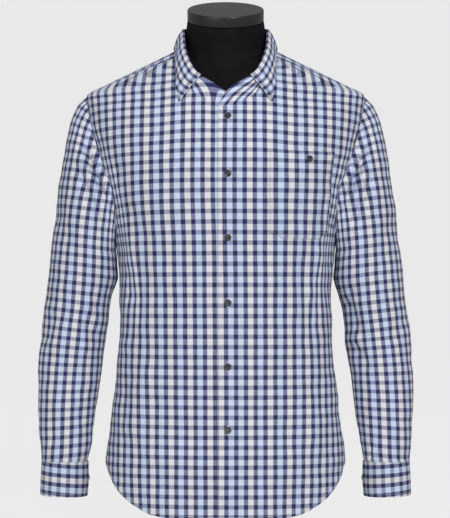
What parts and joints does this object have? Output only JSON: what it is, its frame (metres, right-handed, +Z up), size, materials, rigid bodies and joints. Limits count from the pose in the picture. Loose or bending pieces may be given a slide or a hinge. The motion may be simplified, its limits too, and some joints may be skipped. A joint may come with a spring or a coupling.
{
  "type": "checked shirt on a dress form",
  "caption": "Long-sleeved checked shirt with collar, chest pocket and curved hem, worn by a limbless dress form that stands on a round plate.",
  "frame": {"origin": "middle of the stand plate's underside", "axes": "+Z up, the shirt's front faces -Y, the wearer's left is +X"},
  "size_m": [0.6012, 0.3, 0.8882],
  "materials": {
    "checked_cotton": "plain-woven cotton, navy check on light blue and ivory, matt",
    "button": "dark horn-effect resin, glossy",
    "form_cover": "black stretch jersey, matt",
    "form_cap": "dark satin",
    "form_stand": "black powder coat"
  },
  "bodies": {
    "root": {"front_left": "checked_cotton", "front_right": "checked_cotton", "back": "checked_cotton", "yoke": "checked_cotton", "sleeve_left": "checked_cotton", "sleeve_right": "checked_cotton", "sleeve_placket_left": "checked_cotton", "sleeve_placket_right": "checked_cotton", "cuff_left": "checked_cotton", "cuff_right": "checked_cotton", "collar_stand": "checked_cotton", "collar_leaf": "checked_cotton", "chest_pocket": "checked_cotton", "button_1": "button", "button_2": "button", "button_3": "button", "button_4": "button", "button_5": "button", "button_6": "button", "button_pocket": "button", "button_cuff_left": "button", "button_cuff_right": "button", "form_torso": "form_cover", "form_cap": "form_cap", "form_stand": "form_stand"}
  },
  "joints": []
}
